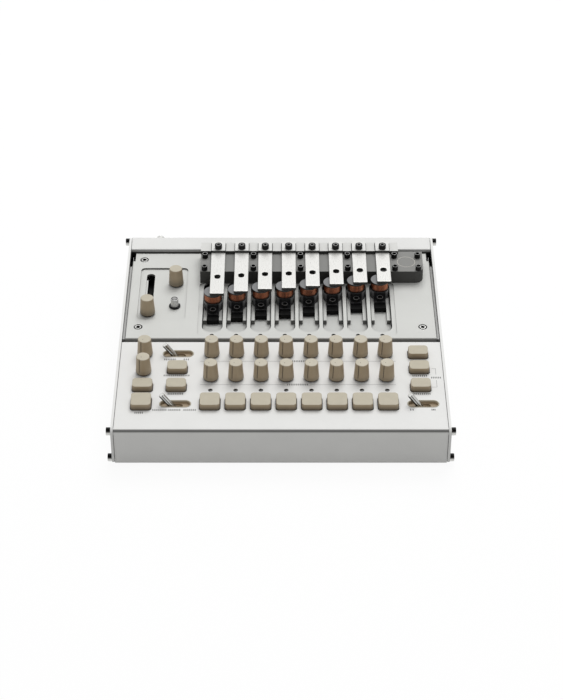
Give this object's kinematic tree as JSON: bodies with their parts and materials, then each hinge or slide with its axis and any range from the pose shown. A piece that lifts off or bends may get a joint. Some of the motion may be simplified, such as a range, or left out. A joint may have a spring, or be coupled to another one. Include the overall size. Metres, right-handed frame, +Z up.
{
  "type": "desktop synthesizer",
  "caption": "Silver desktop synthesizer with beige knobs, key buttons and toggles, and tuned steel bars clamped over sliding coils",
  "frame": {"origin": "Middle of the footprint, at the bottom of the rubber feet, with the case level", "axes": "+Z up, +X to the player's right, +Y away from the player"},
  "size_m": [0.231, 0.2262, 0.0464],
  "materials": {
    "anodised_sheet": "fine bead-blasted clear anodising",
    "bridge_grey": "dark grey anodising, satin",
    "clamp_aluminium": "clear anodising, satin",
    "bar_steel": "polished spring steel with fine lengthwise grain",
    "black_steel": "black oxide, satin",
    "carriage_black": "black anodising, with bare copper wire above",
    "bright_steel": "bright turned steel",
    "control_beige": "fine matte moulded plastic",
    "board_green": "solder-masked board with moulded parts",
    "foot_rubber": "moulded rubber"
  },
  "bodies": {
    "case": {"front_cover": "anodised_sheet", "rear_cover": "anodised_sheet", "base_plate": "anodised_sheet", "side_plates": "anodised_sheet", "resonator_deck": "anodised_sheet", "bridge_block": "bridge_grey", "resonator_clamps": "clamp_aluminium", "resonator_bars": "bar_steel", "black_screws": "black_steel", "case_screws": "bright_steel", "control_board": "board_green", "rubber_feet": "foot_rubber", "toggle_bezels": "control_beige"},
    "left_rear_knob": {"left_rear_knob": "control_beige"},
    "left_front_knob": {"left_front_knob": "control_beige"},
    "pocket_knob": {"pocket_knob": "control_beige"},
    "fader_knob": {"fader_knob": "control_beige"},
    "push_button": {"push_button": "bright_steel"},
    "step_button_1": {"step_button_1": "control_beige"},
    "step_button_2": {"step_button_2": "control_beige"},
    "step_button_3": {"step_button_3": "control_beige"},
    "step_button_4": {"step_button_4": "control_beige"},
    "step_button_5": {"step_button_5": "control_beige"},
    "step_button_6": {"step_button_6": "control_beige"},
    "step_button_7": {"step_button_7": "control_beige"},
    "step_button_8": {"step_button_8": "control_beige"},
    "upper_knob_1": {"upper_knob_1": "control_beige"},
    "upper_knob_2": {"upper_knob_2": "control_beige"},
    "upper_knob_3": {"upper_knob_3": "control_beige"},
    "upper_knob_4": {"upper_knob_4": "control_beige"},
    "upper_knob_5": {"upper_knob_5": "control_beige"},
    "upper_knob_6": {"upper_knob_6": "control_beige"},
    "upper_knob_7": {"upper_knob_7": "control_beige"},
    "upper_knob_8": {"upper_knob_8": "control_beige"},
    "lower_knob_1": {"lower_knob_1": "control_beige"},
    "lower_knob_2": {"lower_knob_2": "control_beige"},
    "lower_knob_3": {"lower_knob_3": "control_beige"},
    "lower_knob_4": {"lower_knob_4": "control_beige"},
    "lower_knob_5": {"lower_knob_5": "control_beige"},
    "lower_knob_6": {"lower_knob_6": "control_beige"},
    "lower_knob_7": {"lower_knob_7": "control_beige"},
    "lower_knob_8": {"lower_knob_8": "control_beige"},
    "coil_carriage_1": {"coil_carriage_1": "carriage_black"},
    "coil_carriage_2": {"coil_carriage_2": "carriage_black"},
    "coil_carriage_3": {"coil_carriage_3": "carriage_black"},
    "coil_carriage_4": {"coil_carriage_4": "carriage_black"},
    "coil_carriage_5": {"coil_carriage_5": "carriage_black"},
    "coil_carriage_6": {"coil_carriage_6": "carriage_black"},
    "coil_carriage_7": {"coil_carriage_7": "carriage_black"},
    "coil_carriage_8": {"coil_carriage_8": "carriage_black"},
    "toggle_lever_1": {"toggle_lever_1": "bright_steel"},
    "toggle_lever_2": {"toggle_lever_2": "bright_steel"},
    "toggle_lever_3": {"toggle_lever_3": "bright_steel"},
    "left_button_1": {"left_button_1": "control_beige"},
    "left_button_2": {"left_button_2": "control_beige"},
    "left_button_3": {"left_button_3": "control_beige"},
    "left_button_4": {"left_button_4": "control_beige"},
    "right_button_1": {"right_button_1": "control_beige"},
    "right_button_2": {"right_button_2": "control_beige"},
    "right_button_3": {"right_button_3": "control_beige"}
  },
  "joints": [
    {"name": "left_rear_knob_turn", "type": "hinge", "parent": "case", "child": "left_rear_knob", "pos_m": [-0.0936, -0.03187, 0.031], "axis": [0, 0, 1], "range_deg": [-300, 0]},
    {"name": "left_front_knob_turn", "type": "hinge", "parent": "case", "child": "left_front_knob", "pos_m": [-0.0936, -0.05127, 0.031], "axis": [0, 0, 1], "range_deg": [-300, 0]},
    {"name": "pocket_knob_turn", "type": "hinge", "parent": "case", "child": "pocket_knob", "pos_m": [-0.0758, 0.05446, 0.02902], "axis": [0, 0.0262, 0.9997], "range_deg": [-300, 0]},
    {"name": "fader_knob_slide", "type": "slide", "parent": "case", "child": "fader_knob", "axis": [0, 0.9997, -0.0262], "range_m": [0, 0.045]},
    {"name": "push_button_press", "type": "slide", "parent": "case", "child": "push_button", "axis": [0, -0.0262, -0.9997], "range_m": [0, 0.002], "stiffness_N_per_m": 400, "springref_m": -0.0005},
    {"name": "step_button_1_press", "type": "slide", "parent": "case", "child": "step_button_1", "axis": [0, 0, -1], "range_m": [0, 0.0012], "stiffness_N_per_m": 400, "springref_m": -0.0005},
    {"name": "step_button_2_press", "type": "slide", "parent": "case", "child": "step_button_2", "axis": [0, 0, -1], "range_m": [0, 0.0012], "stiffness_N_per_m": 400, "springref_m": -0.0005},
    {"name": "step_button_3_press", "type": "slide", "parent": "case", "child": "step_button_3", "axis": [0, 0, -1], "range_m": [0, 0.0012], "stiffness_N_per_m": 400, "springref_m": -0.0005},
    {"name": "step_button_4_press", "type": "slide", "parent": "case", "child": "step_button_4", "axis": [0, 0, -1], "range_m": [0, 0.0012], "stiffness_N_per_m": 400, "springref_m": -0.0005},
    {"name": "step_button_5_press", "type": "slide", "parent": "case", "child": "step_button_5", "axis": [0, 0, -1], "range_m": [0, 0.0012], "stiffness_N_per_m": 400, "springref_m": -0.0005},
    {"name": "step_button_6_press", "type": "slide", "parent": "case", "child": "step_button_6", "axis": [0, 0, -1], "range_m": [0, 0.0012], "stiffness_N_per_m": 400, "springref_m": -0.0005},
    {"name": "step_button_7_press", "type": "slide", "parent": "case", "child": "step_button_7", "axis": [0, 0, -1], "range_m": [0, 0.0012], "stiffness_N_per_m": 400, "springref_m": -0.0005},
    {"name": "step_button_8_press", "type": "slide", "parent": "case", "child": "step_button_8", "axis": [0, 0, -1], "range_m": [0, 0.0012], "stiffness_N_per_m": 400, "springref_m": -0.0005},
    {"name": "upper_knob_1_turn", "type": "hinge", "parent": "case", "child": "upper_knob_1", "pos_m": [-0.0476, -0.03187, 0.031], "axis": [0, 0, 1], "range_deg": [-300, 0]},
    {"name": "upper_knob_2_turn", "type": "hinge", "parent": "case", "child": "upper_knob_2", "pos_m": [-0.03055, -0.03187, 0.031], "axis": [0, 0, 1], "range_deg": [-300, 0]},
    {"name": "upper_knob_3_turn", "type": "hinge", "parent": "case", "child": "upper_knob_3", "pos_m": [-0.0135, -0.03187, 0.031], "axis": [0, 0, 1], "range_deg": [-300, 0]},
    {"name": "upper_knob_4_turn", "type": "hinge", "parent": "case", "child": "upper_knob_4", "pos_m": [0.00355, -0.03187, 0.031], "axis": [0, 0, 1], "range_deg": [-300, 0]},
    {"name": "upper_knob_5_turn", "type": "hinge", "parent": "case", "child": "upper_knob_5", "pos_m": [0.0206, -0.03187, 0.031], "axis": [0, 0, 1], "range_deg": [-300, 0]},
    {"name": "upper_knob_6_turn", "type": "hinge", "parent": "case", "child": "upper_knob_6", "pos_m": [0.03765, -0.03187, 0.031], "axis": [0, 0, 1], "range_deg": [-300, 0]},
    {"name": "upper_knob_7_turn", "type": "hinge", "parent": "case", "child": "upper_knob_7", "pos_m": [0.0547, -0.03187, 0.031], "axis": [0, 0, 1], "range_deg": [-300, 0]},
    {"name": "upper_knob_8_turn", "type": "hinge", "parent": "case", "child": "upper_knob_8", "pos_m": [0.07175, -0.03187, 0.031], "axis": [0, 0, 1], "range_deg": [-300, 0]},
    {"name": "lower_knob_1_turn", "type": "hinge", "parent": "case", "child": "lower_knob_1", "pos_m": [-0.0476, -0.05757, 0.031], "axis": [0, 0, 1], "range_deg": [-300, 0]},
    {"name": "lower_knob_2_turn", "type": "hinge", "parent": "case", "child": "lower_knob_2", "pos_m": [-0.03055, -0.05757, 0.031], "axis": [0, 0, 1], "range_deg": [-300, 0]},
    {"name": "lower_knob_3_turn", "type": "hinge", "parent": "case", "child": "lower_knob_3", "pos_m": [-0.0135, -0.05757, 0.031], "axis": [0, 0, 1], "range_deg": [-300, 0]},
    {"name": "lower_knob_4_turn", "type": "hinge", "parent": "case", "child": "lower_knob_4", "pos_m": [0.00355, -0.05757, 0.031], "axis": [0, 0, 1], "range_deg": [-300, 0]},
    {"name": "lower_knob_5_turn", "type": "hinge", "parent": "case", "child": "lower_knob_5", "pos_m": [0.0206, -0.05757, 0.031], "axis": [0, 0, 1], "range_deg": [-300, 0]},
    {"name": "lower_knob_6_turn", "type": "hinge", "parent": "case", "child": "lower_knob_6", "pos_m": [0.03765, -0.05757, 0.031], "axis": [0, 0, 1], "range_deg": [-300, 0]},
    {"name": "lower_knob_7_turn", "type": "hinge", "parent": "case", "child": "lower_knob_7", "pos_m": [0.0547, -0.05757, 0.031], "axis": [0, 0, 1], "range_deg": [-300, 0]},
    {"name": "lower_knob_8_turn", "type": "hinge", "parent": "case", "child": "lower_knob_8", "pos_m": [0.07175, -0.05757, 0.031], "axis": [0, 0, 1], "range_deg": [-300, 0]},
    {"name": "coil_carriage_1_slide", "type": "slide", "parent": "case", "child": "coil_carriage_1", "axis": [0, 0.9997, -0.0262], "range_m": [-0.0095, 0.017]},
    {"name": "coil_carriage_2_slide", "type": "slide", "parent": "case", "child": "coil_carriage_2", "axis": [0, 0.9997, -0.0262], "range_m": [-0.01237, 0.01412]},
    {"name": "coil_carriage_3_slide", "type": "slide", "parent": "case", "child": "coil_carriage_3", "axis": [0, 0.9997, -0.0262], "range_m": [-0.01509, 0.01141]},
    {"name": "coil_carriage_4_slide", "type": "slide", "parent": "case", "child": "coil_carriage_4", "axis": [0, 0.9997, -0.0262], "range_m": [-0.01639, 0.01011]},
    {"name": "coil_carriage_5_slide", "type": "slide", "parent": "case", "child": "coil_carriage_5", "axis": [0, 0.9997, -0.0262], "range_m": [-0.01887, 0.00762]},
    {"name": "coil_carriage_6_slide", "type": "slide", "parent": "case", "child": "coil_carriage_6", "axis": [0, 0.9997, -0.0262], "range_m": [-0.02122, 0.00528]},
    {"name": "coil_carriage_7_slide", "type": "slide", "parent": "case", "child": "coil_carriage_7", "axis": [0, 0.9997, -0.0262], "range_m": [-0.02344, 0.00306]},
    {"name": "coil_carriage_8_slide", "type": "slide", "parent": "case", "child": "coil_carriage_8", "axis": [0, 0.9997, -0.0262], "range_m": [-0.0245, 0.002]},
    {"name": "toggle_lever_1_flip", "type": "hinge", "parent": "case", "child": "toggle_lever_1", "pos_m": [-0.0708, -0.03087, 0.0257], "axis": [0, 1, 0], "range_deg": [0, 70]},
    {"name": "toggle_lever_2_flip", "type": "hinge", "parent": "case", "child": "toggle_lever_2", "pos_m": [-0.0708, -0.08477, 0.0257], "axis": [0, 1, 0], "range_deg": [0, 70]},
    {"name": "toggle_lever_3_flip", "type": "hinge", "parent": "case", "child": "toggle_lever_3", "pos_m": [0.09525, -0.08477, 0.0257], "axis": [0, 1, 0], "range_deg": [0, 70]},
    {"name": "left_button_1_press", "type": "slide", "parent": "case", "child": "left_button_1", "axis": [0, 0, -1], "range_m": [0, 0.0012], "stiffness_N_per_m": 400, "springref_m": -0.0005},
    {"name": "left_button_2_press", "type": "slide", "parent": "case", "child": "left_button_2", "axis": [0, 0, -1], "range_m": [0, 0.0012], "stiffness_N_per_m": 400, "springref_m": -0.0005},
    {"name": "left_button_3_press", "type": "slide", "parent": "case", "child": "left_button_3", "axis": [0, 0, -1], "range_m": [0, 0.0012], "stiffness_N_per_m": 400, "springref_m": -0.0005},
    {"name": "left_button_4_press", "type": "slide", "parent": "case", "child": "left_button_4", "axis": [0, 0, -1], "range_m": [0, 0.0012], "stiffness_N_per_m": 400, "springref_m": -0.0005},
    {"name": "right_button_1_press", "type": "slide", "parent": "case", "child": "right_button_1", "axis": [0, 0, -1], "range_m": [0, 0.0012], "stiffness_N_per_m": 400, "springref_m": -0.0005},
    {"name": "right_button_2_press", "type": "slide", "parent": "case", "child": "right_button_2", "axis": [0, 0, -1], "range_m": [0, 0.0012], "stiffness_N_per_m": 400, "springref_m": -0.0005},
    {"name": "right_button_3_press", "type": "slide", "parent": "case", "child": "right_button_3", "axis": [0, 0, -1], "range_m": [0, 0.0012], "stiffness_N_per_m": 400, "springref_m": -0.0005}
  ]
}
